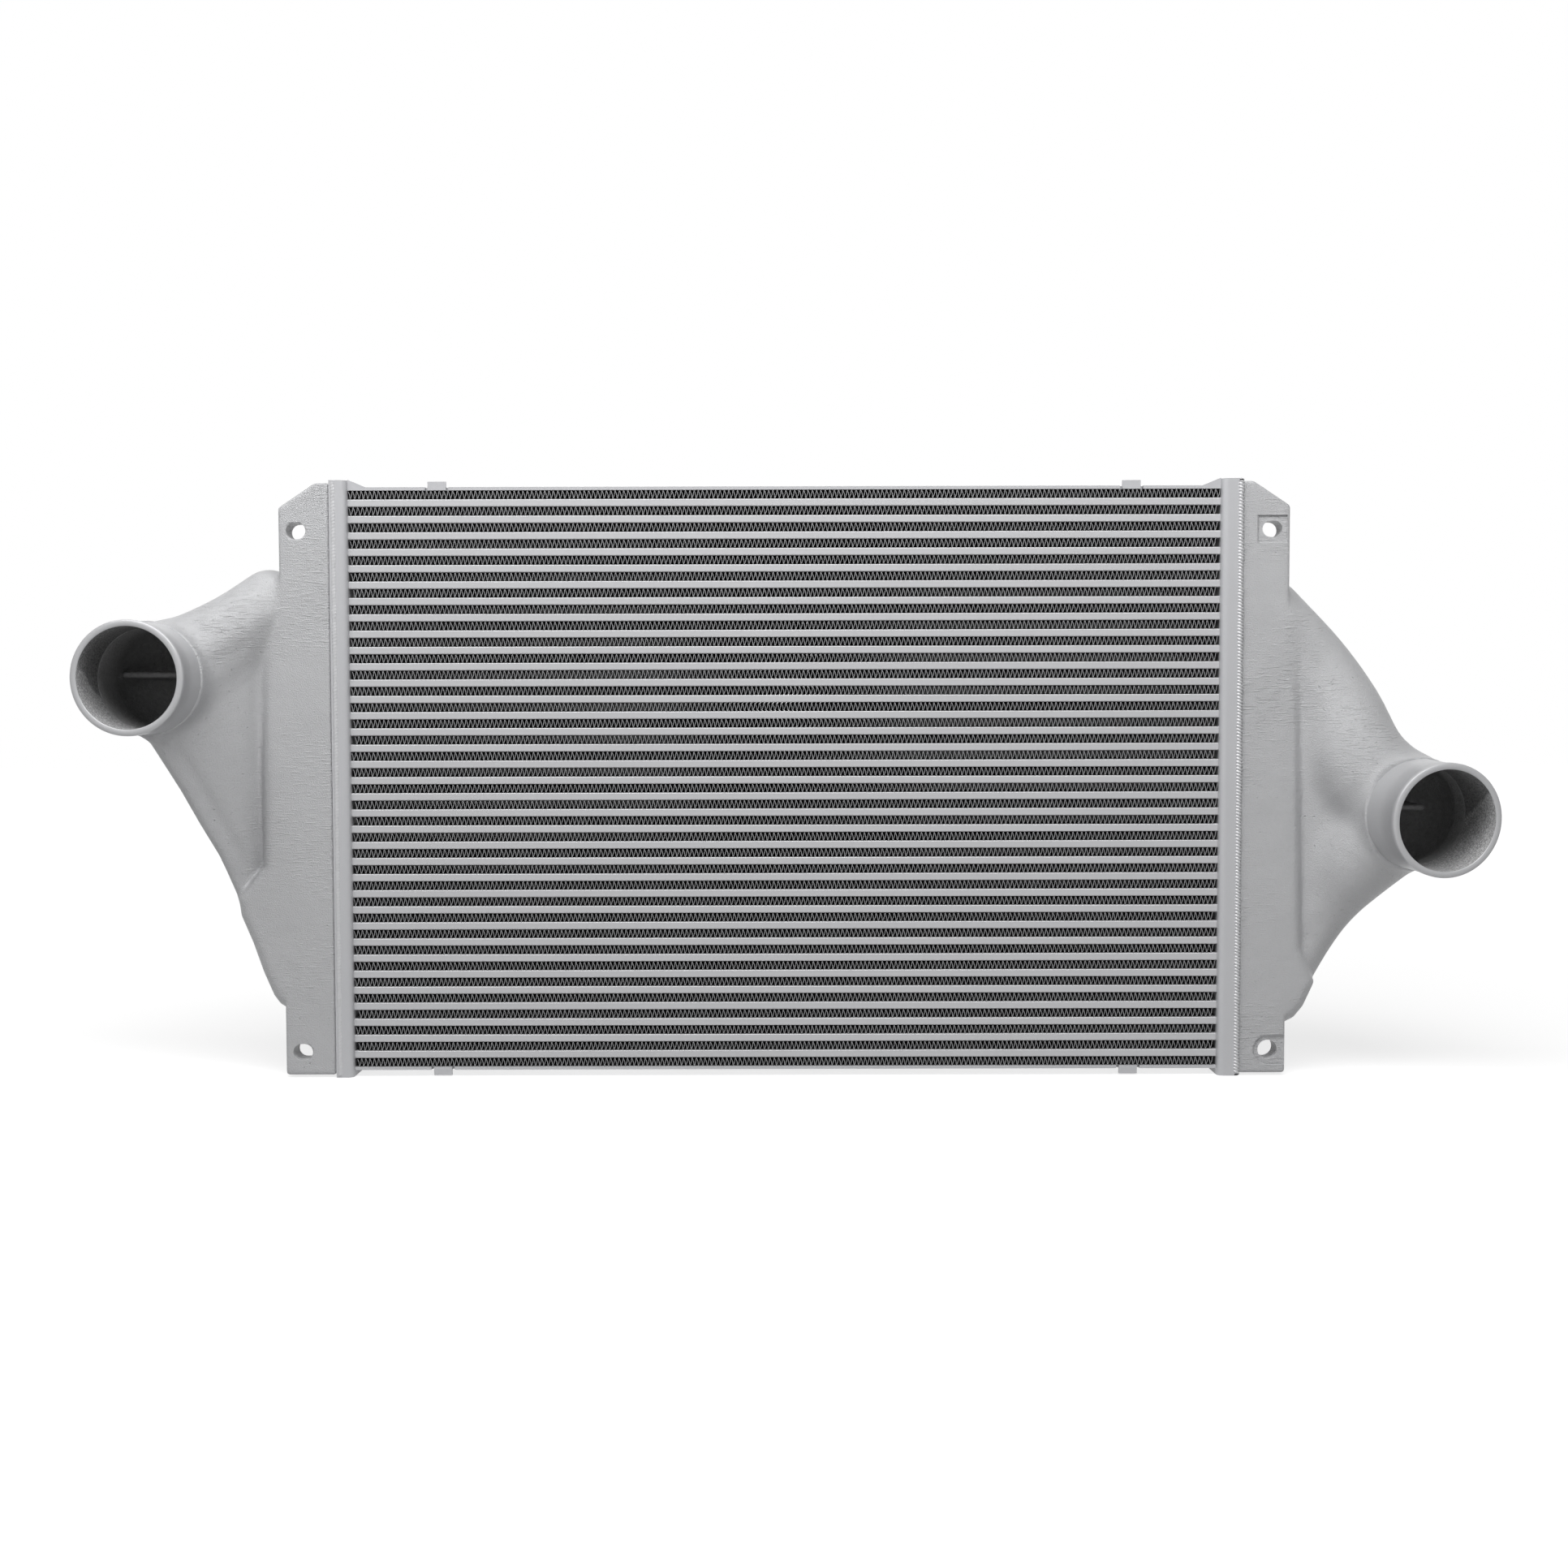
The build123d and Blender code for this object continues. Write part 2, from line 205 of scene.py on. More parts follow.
castShape = {"wrinkleScales": (80.0, 80.0, 640.0), "wrinkleSpan": (0.52, 0.72), "fieldScale": 9.0,
             "fieldSpan": (0.42, 0.62), "pitScale": 330.0, "pitSpan": (0.68, 0.80), "waveScale": 38.0}


def buildCastGroup():
    # sand-cast skin under the coat: level wrinkles, small pits and soft waves
    group, into, out = newGroup(
        "castSkin",
        [("Wrinkle", "NodeSocketFloat", 0.5), ("Pits", "NodeSocketFloat", 0.5),
         ("Waves", "NodeSocketFloat", 0.5)],
        [("Height", "NodeSocketFloat")])
    nodes, links = group.nodes, group.links
    place = nodes.new("ShaderNodeTexCoord").outputs["Object"]
    flat = stretch(nodes, links, place, castShape["wrinkleScales"])
    wrinkle = rampNode(nodes, links, noiseNode(nodes, links, flat, 1.0, 3.0), castShape["wrinkleSpan"])
    fieldNoise = noiseNode(nodes, links, place, castShape["fieldScale"], 2.0)
    field = rampNode(nodes, links, fieldNoise, castShape["fieldSpan"])
    wrinkle = mathNode(nodes, links, "MULTIPLY", wrinkle, field)
    pitNoise = noiseNode(nodes, links, place, castShape["pitScale"], 2.0)
    pits = rampNode(nodes, links, pitNoise, castShape["pitSpan"])
    waves = noiseNode(nodes, links, place, castShape["waveScale"], 2.0)
    raised = mathNode(nodes, links, "MULTIPLY", wrinkle, into.outputs["Wrinkle"])
    sunk = mathNode(nodes, links, "MULTIPLY", pits, into.outputs["Pits"])
    rolling = mathNode(nodes, links, "MULTIPLY", waves, into.outputs["Waves"])
    height = mathNode(nodes, links, "ADD", mathNode(nodes, links, "SUBTRACT", raised, sunk), rolling)
    links.new(height, out.inputs["Height"])
    return group


coatGroup = buildCoatGroup()
castGroup = buildCastGroup()


def coatMaterial(name, look):
    # one coated metal: look gives its colour, gloss and how much of each effect it has
    material = bpy.data.materials.new(name)
    material.use_nodes = True
    nodes, links = material.node_tree.nodes, material.node_tree.links
    shader = nodes["Principled BSDF"]
    shader.inputs["Metallic"].default_value = look["metallic"]
    coat = nodes.new("ShaderNodeGroup")
    coat.node_tree = coatGroup
    coat.inputs["Color"].default_value = (*look["color"], 1)
    coat.inputs["Mottle"].default_value = look["mottle"]
    coat.inputs["Grain Scale"].default_value = look["grainScale"]
    coat.inputs["Grain"].default_value = look["grain"]
    coat.inputs["Roughness"].default_value = look["roughness"]
    links.new(coat.outputs["Color"], shader.inputs["Base Color"])
    links.new(coat.outputs["Roughness"], shader.inputs["Roughness"])
    height = coat.outputs["Height"]
    if "cast" in look:
        cast = nodes.new("ShaderNodeGroup")
        cast.node_tree = castGroup
        for label, value in zip(("Wrinkle", "Pits", "Waves"), look["cast"]):
            cast.inputs[label].default_value = value
        height = mathNode(nodes, links, "ADD", height, cast.outputs["Height"])
    bump = nodes.new("ShaderNodeBump")
    bump.inputs["Strength"].default_value = look["bump"]
    bump.inputs["Distance"].default_value = look["bumpDepth"]
    links.new(height, bump.inputs["Height"])
    links.new(bump.outputs["Normal"], shader.inputs["Normal"])
    return material


coatLooks = {
    "castCoat": dict(color=(0.545, 0.548, 0.56), metallic=0.12, roughness=0.38, mottle=0.08, grainScale=900.0,
                     grain=0.8, cast=(0.6, 0.8, 1.0), bump=0.9, bumpDepth=0.0012),
    "neckCoat": dict(color=(0.55, 0.553, 0.565), metallic=0.25, roughness=0.40, mottle=0.05, grainScale=700.0,
                     grain=0.25, bump=0.3, bumpDepth=0.0003),
    # faces of the hollow: cast texture and random tone, and a colour darker than the outer coat as painted
    # shade inside the casting
    "innerCastPaintedShade": dict(color=(0.36, 0.36, 0.363), metallic=0.3, roughness=0.65, mottle=0.5, grainScale=420.0,
                      grain=1.0, cast=(0.0, 0.8, 0.6), bump=0.9, bumpDepth=0.0014),
    "sheetCoat": dict(color=(0.56, 0.563, 0.58), metallic=0.2, roughness=0.42, mottle=0.04, grainScale=1400.0,
                      grain=0.2, bump=0.25, bumpDepth=0.0003),
    "tubeCoat": dict(color=(0.60, 0.602, 0.615), metallic=0.15, roughness=0.42, mottle=0.04,
                     grainScale=1600.0, grain=0.15, bump=0.2, bumpDepth=0.0002),
    # near-black sides of the fins and the turbulators: painted shade for the dark gaps between the folds
    "finAndStripPaintedShade": dict(color=(0.055, 0.056, 0.058), metallic=0.3, roughness=0.5, mottle=0.12, grainScale=800.0,
                     grain=0.1, bump=0.1, bumpDepth=0.0002),
    "finEdge": dict(color=(0.36, 0.362, 0.37), metallic=0.1, roughness=0.5, mottle=0.3, grainScale=500.0,
                    grain=0.1, bump=0.1, bumpDepth=0.0002),
    "weldCoat": dict(color=(0.62, 0.622, 0.635), metallic=0.2, roughness=0.38, mottle=0.08, grainScale=900.0,
                     grain=0.3, bump=0.3, bumpDepth=0.0003),
}
paint = {name: coatMaterial(name, look) for name, look in coatLooks.items()}


boreShape = {"edgeWaveScale": 60.0, "edgeWave": 0.006, "edgeWidth": 0.0035, "speckScale": 620.0,
             "speckSpan": (0.4, 0.7), "speckShare": 0.9, "leastShade": 0.6, "roughness": 0.6,
             "metallic": 0.2, "bump": 0.7, "bumpDepth": 0.0008}


def buildBoreGroup():
    # rough wall of a neck's bore, darkened as painted shade, with a lighter patch past a slanting edge on its
    # lower, forward side: painted light falling into the bore
    group, into, out = newGroup(
        "boreWall",
        [("Painted Shade Color", "NodeSocketColor", (0.1, 0.1, 0.1, 1)),
         ("Painted Light Color", "NodeSocketColor", (0.4, 0.4, 0.4, 1)),
         ("Centre", "NodeSocketVector", (0, 0, 0)), ("Way", "NodeSocketVector", (0, 0, -1)),
         ("Painted Light Start", "NodeSocketFloat", 0.03)],
        [("Color", "NodeSocketColor"), ("Height", "NodeSocketFloat")])
    nodes, links = group.nodes, group.links
    place = nodes.new("ShaderNodeTexCoord").outputs["Object"]
    offset = nodes.new("ShaderNodeVectorMath")
    offset.operation = "SUBTRACT"
    links.new(place, offset.inputs[0])
    links.new(into.outputs["Centre"], offset.inputs[1])
    along = nodes.new("ShaderNodeVectorMath")
    along.operation = "DOT_PRODUCT"
    links.new(offset.outputs[0], along.inputs[0])
    links.new(into.outputs["Way"], along.inputs[1])
    waves = noiseNode(nodes, links, place, boreShape["edgeWaveScale"], 3.0)
    edgeWave = mathNode(nodes, links, "MULTIPLY", waves, boreShape["edgeWave"])
    past = mathNode(nodes, links, "SUBTRACT", mathNode(nodes, links, "ADD", along.outputs["Value"], edgeWave),
                    into.outputs["Painted Light Start"])
    # patch is the painted light on the bore's lower wall, beyond the slanting edge
    patch = rampNode(nodes, links, past, (0.0, boreShape["edgeWidth"]))
    speck = noiseNode(nodes, links, place, boreShape["speckScale"], 2.0, 0.7)
    mix = nodes.new("ShaderNodeMix")
    mix.data_type = "RGBA"
    links.new(patch, mix.inputs["Factor"])
    links.new(into.outputs["Painted Shade Color"], mix.inputs["A"])
    links.new(into.outputs["Painted Light Color"], mix.inputs["B"])
    specked = rampNode(nodes, links, speck, boreShape["speckSpan"])
    specked = mathNode(nodes, links, "MULTIPLY", specked, boreShape["speckShare"])
    shade = mathNode(nodes, links, "ADD", specked, boreShape["leastShade"])
    links.new(shadeColor(nodes, links, mix.outputs["Result"], shade), out.inputs["Color"])
    links.new(speck, out.inputs["Height"])
    return group


boreGroup = buildBoreGroup()

# way points from the bore's middle down and forward towards the painted light patch; cast is the wall's dark
# colour, painted shade; -1 is the left neck, 1 the right one
boreLooks = {-1: dict(cast=(0.22, 0.22, 0.223), machined=(0.42, 0.42, 0.425),
                      way=(-0.35, -0.55, -0.76), start=0.028),
             1: dict(cast=(0.22, 0.22, 0.223), machined=(0.46, 0.46, 0.465),
                     way=(0.55, -0.35, -0.76), start=0.026)}


def boreMaterial(side, centre):
    look = boreLooks[side]
    material = bpy.data.materials.new("boreLeft" if side < 0 else "boreRight")
    material.use_nodes = True
    nodes, links = material.node_tree.nodes, material.node_tree.links
    shader = nodes["Principled BSDF"]
    shader.inputs["Roughness"].default_value = boreShape["roughness"]
    shader.inputs["Metallic"].default_value = boreShape["metallic"]
    wall = nodes.new("ShaderNodeGroup")
    wall.node_tree = boreGroup
    wall.inputs["Painted Shade Color"].default_value = (*look["cast"], 1)
    wall.inputs["Painted Light Color"].default_value = (*look["machined"], 1)
    wall.inputs["Centre"].default_value = centre
    wall.inputs["Way"].default_value = look["way"]
    wall.inputs["Painted Light Start"].default_value = look["start"]
    links.new(wall.outputs["Color"], shader.inputs["Base Color"])
    bump = nodes.new("ShaderNodeBump")
    bump.inputs["Strength"].default_value = boreShape["bump"]
    bump.inputs["Distance"].default_value = boreShape["bumpDepth"]
    links.new(wall.outputs["Height"], bump.inputs["Height"])
    links.new(bump.outputs["Normal"], shader.inputs["Normal"])
    return material


print("materials made:", ", ".join(paint))


# Serpentine fins, full count: thin folded sheet that weaves sideways over its depth

finShape = {"loopsPerRow": 199, "sheet": 0.00052, "crestRise": 0.0010, "crestIn": 0.00055,
            "bow": 0.00042, "weave": 0.0030, "leastGap": 0.0004, "mostGap": 0.0042, "faceInset": 0.0004,
            "drift": 0.0005, "driftKnots": 60, "seed": 11}


def serpentine(length, height):
    # centre line of one row: rounded crests joined by slightly bowed legs
    loops = finShape["loopsPerRow"]
    half = length / (2 * loops)
    points = []
    for index in range(2 * loops):
        way = 1 if index % 2 else -1
        left = -length / 2 + index * half
        head = left + half - finShape["crestIn"]
        shoulder = way * (height / 2 - finShape["crestRise"])
        points.append((left, -shoulder))
        points.append(((left + head) / 2 + finShape["bow"], 0))
        points.append((head, shoulder))
        points.append((left + half, way * height / 2))
    return np.array(points)


def ribbon(line, thickness, yFront, yBack, middleZ, weave):
    # sheet that follows line, bent in the middle of its depth and thin at the back; slot 1 is its front edge,
    # slot 0 its sides, which take a near-black colour as painted shade between the folds
    step = np.gradient(line, axis=0)
    normal = np.stack([-step[:, 1], step[:, 0]], 1)
    normal /= np.linalg.norm(normal, axis=1)[:, None]
    count = len(line)
    rings = []
    for side, depth, shift in ((1, 0, 0), (1, 0.5, 1), (0, 1, 0), (-1, 0.5, 1), (-1, 0, 0)):
        flat = line + normal * side * thickness / 2
        ring = np.zeros((count, 3))
        ring[:, 0] = flat[:, 0] + shift * weave
        ring[:, 1] = yFront + (yBack - yFront) * depth
        ring[:, 2] = np.clip(flat[:, 1], line[:, 1].min(), line[:, 1].max()) + middleZ
        rings.append(ring)
    points = np.stack(rings, 1).reshape(-1, 3)
    edges = np.tile(np.arange(5) == 4, count - 1)
    return points, gridFaces(count, 5, closeColumns=True), edges


def buildFins():
    rng = random.Random(finShape["seed"])
    firstTube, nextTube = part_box(tubeNames[0]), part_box(tubeNames[1])
    pitch = nextTube[0].z - firstTube[0].z
    rowHeight = pitch - (firstTube[1].z - firstTube[0].z)
    row = 0
    for name in finNames:
        lowest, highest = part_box(name)
        allPoints, allFaces, allEdges, used = [], [], [], 0
        for index in range(round((highest.z - lowest.z - rowHeight) / pitch) + 1):
            middle = lowest.z + rowHeight / 2 + index * pitch
            gaps = [rng.uniform(finShape["leastGap"], finShape["mostGap"]) for side in range(2)]
            length = 2 * coreEnd - sum(gaps)
            line = serpentine(length, rowHeight)
            line[:, 0] += (gaps[0] - gaps[1]) / 2
            drift, knots = finShape["drift"], finShape["driftKnots"]
            line[:, 0] += np.interp(line[:, 0], np.linspace(-coreEnd, coreEnd, knots),
                                    [rng.uniform(-drift, drift) for knot in range(knots)])
            weave = finShape["weave"] if row % 2 else -finShape["weave"]
            front, back = lowest.y + finShape["faceInset"], highest.y - finShape["faceInset"]
            points, faces, edges = ribbon(line, finShape["sheet"], front, back, middle, weave)
            allPoints.append(points)
            allFaces.append(faces + used)
            allEdges.append(edges)
            used += len(points)
            row += 1
        piece = makeMesh(name + "_serpentine", np.concatenate(allPoints), np.concatenate(allFaces),
                         # slot 0 colours the fin sides near black as painted shade, slot 1 the front edges
                         [paint["finAndStripPaintedShade"], paint["finEdge"]], smooth=False,
                         faceSlots=np.concatenate(allEdges))
        dress(piece, "fin_aluminium", name)
    print("fins made:", row, "rows")


# Flat tubes with softly rounded edges

tubeShape = {"cornerRadius": 0.0010, "cornerSteps": 4, "wall": 0.0008}


def roundedRing(halfY, halfZ, radius, steps):
    # closed outline in the YZ plane with round corners
    points = []
    for cy, cz, start in ((1, 1, 0), (-1, 1, 90), (-1, -1, 180), (1, -1, 270)):
        for index in range(steps + 1):
            angle = math.radians(start + 90 * index / steps)
            points.append((cy * (halfY - radius) + radius * math.cos(angle),
                           cz * (halfZ - radius) + radius * math.sin(angle)))
    return np.array(points)


def buildTubes():
    radius, wall = tubeShape["cornerRadius"], tubeShape["wall"]
    for name in tubeNames:
        low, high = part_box(name)
        halfY, halfZ = (high.y - low.y) / 2, (high.z - low.z) / 2
        outer = roundedRing(halfY, halfZ, radius, tubeShape["cornerSteps"])
        inner = roundedRing(halfY - wall, halfZ - wall, radius - wall, tubeShape["cornerSteps"])
        count = len(outer)
        rings = []
        for ring, x in ((outer, low.x), (outer, high.x), (inner, high.x), (inner, low.x)):
            rings.append(np.stack([np.full(count, x), ring[:, 0] + (low.y + high.y) / 2,
                                   ring[:, 1] + (low.z + high.z) / 2], 1))
        faces = gridFaces(4, count, closeRows=True, closeColumns=True)[:, ::-1]
        piece = makeMesh(name + "_rounded", np.concatenate(rings), faces, [paint["tubeCoat"]], smooth=False)
        dress(piece, "tube_aluminium", name)
    print("tubes made:", len(tubeNames))


# Cast tanks: distances from soft forms on a fine grid, skinned into one mesh.
# Sizes are metres; out is measured from the weld, up from the middle of the core.

tankShape = {"wall": 0.005, "depth": 0.060, "earReach": 0.048, "earThickness": 0.022,
             "channelWidth": 0.021, "openSide": 0.008, "earChamferWidth": 0.0345,
             "earChamferDrop": 0.023, "crispEdge": 0.0016, "ridgeRound": 0.012, "webBack": 0.052,
             "webBlend": 0.012, "webRound": 0.012, "grooveIn": 0.017, "grooveWide": 0.0065,
             "neckRadius": 0.0508, "elbowRadius": 0.0518, "collarRadius": 0.0523, "collarBlend": 0.009,
             "collarAhead": 0.02, "seatReach": 0.085, "boreRadius": 0.0458, "vaneHalf": 0.0030,
             "vaneInset": 0.001, "bodyBlend": 0.004, "rimBlend": 0.008}

# the grid that a casting's skin is found on; skinLimit tells the hollow's faces from the outer ones
gridShape = {"cell": 0.0022, "front": -0.0742, "back": 0.070, "pastNeck": 0.06, "margin": 3,
             "skinLimit": 0.0016}

# rods are the rims of a funnel: points as out, y, up and radius, and each rod goes on to the elbow;
# web and skirt are points as out and up: the sheet between the rims, and the deep part's lower outline
leftTank = {"side": -1, "neckOut": 0.160, "neckForward": 0.086, "neckUp": 0.0955, "swing": 4.0, "dip": 0.0,
            "neckLength": 0.042, "elbowSetback": 0.052,
            "rods": [[(0.064, 0.0285, 0.1690, 0.0295), (0.0892, 0.0150, 0.1440, 0.034),
                      (0.1193, 0.0110, 0.1200, 0.0415)]],
            "web": [(0.050, 0.165), (0.060, -0.132), (0.090, -0.126), (0.093, -0.116), (0.1030, -0.085),
                    (0.1082, -0.070), (0.1222, -0.039), (0.1353, -0.008), (0.1500, 0.023), (0.1620, 0.048)],
            "webFront": 0.012, "webTilt": 0.62, "webFall": 0.10, "groove": 0.0030,
            "vaneLength": 0.150, "vaneRise": 0.004,
            "bodyTop": 0.198, "ridgeOut": 0.067, "shoulder": 0.032,
            "skirt": [(0.069, -0.080), (0.0925, -0.110), (0.0905, -0.127), (0.0800, -0.152), (0.0700, -0.181),
                      (0.0605, -0.203), (0.0545, -0.211), (0.0440, -0.217)]}

rightTank = {"side": 1, "neckOut": 0.167, "neckForward": 0.084, "neckUp": -0.034, "swing": 8.5, "dip": 3.0,
             "neckLength": 0.052, "elbowSetback": 0.037,
             "rods": [[(0.0385, 0.0290, 0.1580, 0.0280), (0.0800, 0.0265, 0.1115, 0.0290),
                       (0.1040, 0.0190, 0.0650, 0.0350), (0.1180, 0.0100, 0.0120, 0.0460)],
                      [(0.0498, 0.0300, -0.2003, 0.0220), (0.0780, 0.0280, -0.1500, 0.0220),
                       (0.0970, 0.0200, -0.1150, 0.0255), (0.1172, 0.0110, -0.0756, 0.0390)]],
             "web": [(0.040, 0.150), (0.044, -0.180)],
             "webFront": 0.0115, "webTilt": 0.36, "webFall": 0.04, "groove": 0.0,
             "vaneLength": 0.130, "vaneRise": 0.002,
             "bodyTop": 0.183, "ridgeOut": 0.061, "shoulder": 0.034,
             "skirt": [(0.065, -0.160), (0.0775, -0.192), (0.067, -0.215), (0.058, -0.226), (0.048, -0.231)]}

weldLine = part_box("header_right")[1].x
coreMiddle = (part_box("header_right")[0].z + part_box("header_right")[1].z) / 2
tankLow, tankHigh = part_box("tank_right")
halfTank = (tankHigh.z - tankLow.z) / 2


def polygonDistance(points, u, z):
    # signed distance in the front view, negative inside
    points = np.array(points, np.float32)
    best = np.full(np.broadcast(u, z).shape, 1e9, np.float32)
    inside = np.zeros(best.shape, bool)
    for start, end in zip(points, np.roll(points, -1, axis=0)):
        edge = end - start
        along = np.clip(((u - start[0]) * edge[0] + (z - start[1]) * edge[1]) / (edge @ edge), 0, 1)
        gap = (u - start[0] - along * edge[0]) ** 2 + (z - start[1] - along * edge[1]) ** 2
        best = np.minimum(best, gap)
        crosses = (start[1] > z) != (end[1] > z)
        with np.errstate(divide="ignore", invalid="ignore"):
            at = edge[0] * (z - start[1]) / (edge[1] if edge[1] else 1e-9) + start[0]
        inside ^= crosses & (u < at)
    return np.where(inside, -np.sqrt(best), np.sqrt(best))


def roundMeet(first, second, radius):
    # what lies inside both, with a rounded edge where they meet
    first, second = first + radius, second + radius
    outside = np.sqrt(np.maximum(first, 0) ** 2 + np.maximum(second, 0) ** 2)
    return outside + np.minimum(np.maximum(first, second), 0) - radius


def extruded(flat, y, yLow, yHigh, radius):
    # a front view outline given depth, its edges rounded
    return roundMeet(flat, np.abs(y - (yLow + yHigh) / 2) - (yHigh - yLow) / 2, radius)


def softUnion(first, second, blend):
    share = np.clip(0.5 + 0.5 * (second - first) / blend, 0, 1)
    return second + (first - second) * share - blend * share * (1 - share)


def roundCone(u, y, z, start, end, startRadius, endRadius):
    # a tapered rod with ball ends
    start, end = np.array(start), np.array(end)
    line = end - start
    long2 = line @ line
    taper = startRadius - endRadius
    slope2 = long2 - taper * taper
    pu, py, pz = u - start[0], y - start[1], z - start[2]
    along = pu * line[0] + py * line[1] + pz * line[2]
    past = along - long2
    across2 = (pu * long2 - line[0] * along) ** 2 + (py * long2 - line[1] * along) ** 2
    across2 = across2 + (pz * long2 - line[2] * along) ** 2
    along2, past2 = along * along * long2, past * past * long2
    limit = math.copysign(1, taper) * taper * taper * across2
    body = (np.sqrt(across2 * slope2 / long2) + along * taper) / long2 - startRadius
    farEnd = np.sqrt(across2 + past2) / long2 - endRadius
    nearEnd = np.sqrt(across2 + along2) / long2 - startRadius
    result = np.where(np.sign(along) * slope2 * along2 < limit, nearEnd, body)
    return np.where(np.sign(past) * slope2 * past2 > limit, farEnd, result)


def smoothRod(points, steps=5):
    # a curve through the points, in short straight stretches
    points = np.array(points, float)
    padded = np.vstack([2 * points[0] - points[1], points, 2 * points[-1] - points[-2]])
    curve = []
    for a, b, c, d in zip(padded, padded[1:], padded[2:], padded[3:]):
        for step in range(steps):
            t = step / steps
            curve.append(0.5 * (2 * b + (c - a) * t + (2 * a - 5 * b + 4 * c - d) * t ** 2
                                + (3 * b - a - 3 * c + d) * t ** 3))
    return np.array(curve + [points[-1]])


def neckLine(tank):
    # axis of the neck and its mouth, base and elbow points as out, y, up
    swing, dip = math.radians(tank["swing"]), math.radians(tank["dip"])
    axis = np.array([math.sin(swing) * math.cos(dip), -math.cos(swing) * math.cos(dip), -math.sin(dip)])
    mouth = np.array([tank["neckOut"], -tank["neckForward"], tank["neckUp"]])
    base = mouth - axis * tank["neckLength"]
    return axis, mouth, base, base - axis * tank["elbowSetback"]


def tankField(tank, u, y, z):
    # distance to the casting's skin, and to its hollow alone
    s = tankShape
    axis, _, base, elbow = neckLine(tank)
    earFlat = polygonDistance([(0, -halfTank), (s["earReach"], -halfTank),
                               (s["earReach"], halfTank - s["earChamferDrop"]),
                               (s["earReach"] - s["earChamferWidth"], halfTank), (0, halfTank)], u, z)
    bodyPoints = [(0, tank["bodyTop"]), (s["earReach"], tank["bodyTop"]),
                  (tank["ridgeOut"], tank["bodyTop"] - tank["shoulder"]), *tank["skirt"],
                  (0, tank["skirt"][-1][1])]
    bodyFlat = polygonDistance(bodyPoints, u, z)
    channelFlat = np.maximum(earFlat, u - s["channelWidth"])
    webFlat = polygonDistance([*tank["web"], (elbow[0], elbow[2])], u, z)
    tilt, fall = tank["webTilt"], tank["webFall"]
    lean = math.sqrt(1 + tilt * tilt + fall * fall)
    rods = [smoothRod([*rod, (*elbow, s["elbowRadius"])]) for rod in tank["rods"]]

    def funnel(inset):
        rims = None
        for rod in rods:
            rim = None
            for start, end in zip(rod, rod[1:]):
                cone = roundCone(u, y, z, start[:3], end[:3], start[3] - inset, end[3] - inset)
                rim = cone if rim is None else np.minimum(rim, cone)
            rims = rim if rims is None else softUnion(rims, rim, s["rimBlend"])
        groove = tank["groove"] * np.exp(-((webFlat + s["grooveIn"]) / s["grooveWide"]) ** 2)
        front = (tank["webFront"] + groove - tilt * (u - s["earReach"]) + fall * (elbow[2] - z) - y) / lean
        web = np.maximum(roundMeet(webFlat, front, s["webRound"]), y - s["webBack"]) + inset
        return softUnion(rims, web, s["webBlend"])

    along = (u - base[0]) * axis[0] + (y - base[1]) * axis[1] + (z - base[2]) * axis[2]
    across = np.sqrt(np.maximum((u - base[0]) ** 2 + (y - base[1]) ** 2 + (z - base[2]) ** 2 - along ** 2, 0))
    behind = np.maximum(along - s["collarAhead"], -along - tank["elbowSetback"])
    duct = softUnion(funnel(0), np.maximum(across - s["collarRadius"], behind), s["collarBlend"])
    outer = softUnion(duct, extruded(bodyFlat, y, 0, s["depth"], s["ridgeRound"]), s["bodyBlend"])
    outer = np.minimum(outer, extruded(earFlat, y, 0, s["earThickness"], s["crispEdge"]))
    outer = np.minimum(outer, extruded(channelFlat, y, 0, s["depth"], s["crispEdge"]))
    # cut flat at the neck's seat, at the weld and at the back
    outer = np.maximum(outer, -np.maximum(-along, across - s["seatReach"]))
    outer = np.maximum(np.maximum(outer, -u), y - s["depth"])
    # the hollow: deep part, funnel, channel along the header, bore
    wall = s["wall"]
    inner = extruded(bodyFlat, y, 0, s["depth"], s["ridgeRound"]) + wall
    inner = softUnion(inner, funnel(wall), s["bodyBlend"])
    depthSpan = np.abs(y - s["depth"] / 2) - s["depth"] / 2
    channel = np.maximum(channelFlat, depthSpan) + wall
    openEnd = np.maximum(depthSpan, np.abs(z) - halfTank) + wall
    inner = np.minimum(inner, np.where(u < s["openSide"], openEnd, channel))
    bore = np.maximum(across - s["boreRadius"], -along - tank["elbowSetback"])
    inner = np.minimum(inner, bore)
    vane = np.maximum(np.abs(z - elbow[2] - tank["vaneRise"]) - s["vaneHalf"], outer + s["vaneInset"])
    vane = np.maximum(vane, np.maximum(s["earReach"] - u, u - s["earReach"] - tank["vaneLength"]))
    vane = np.maximum(vane, elbow[1] - y)
    return np.minimum(np.maximum(outer, -inner), vane), inner


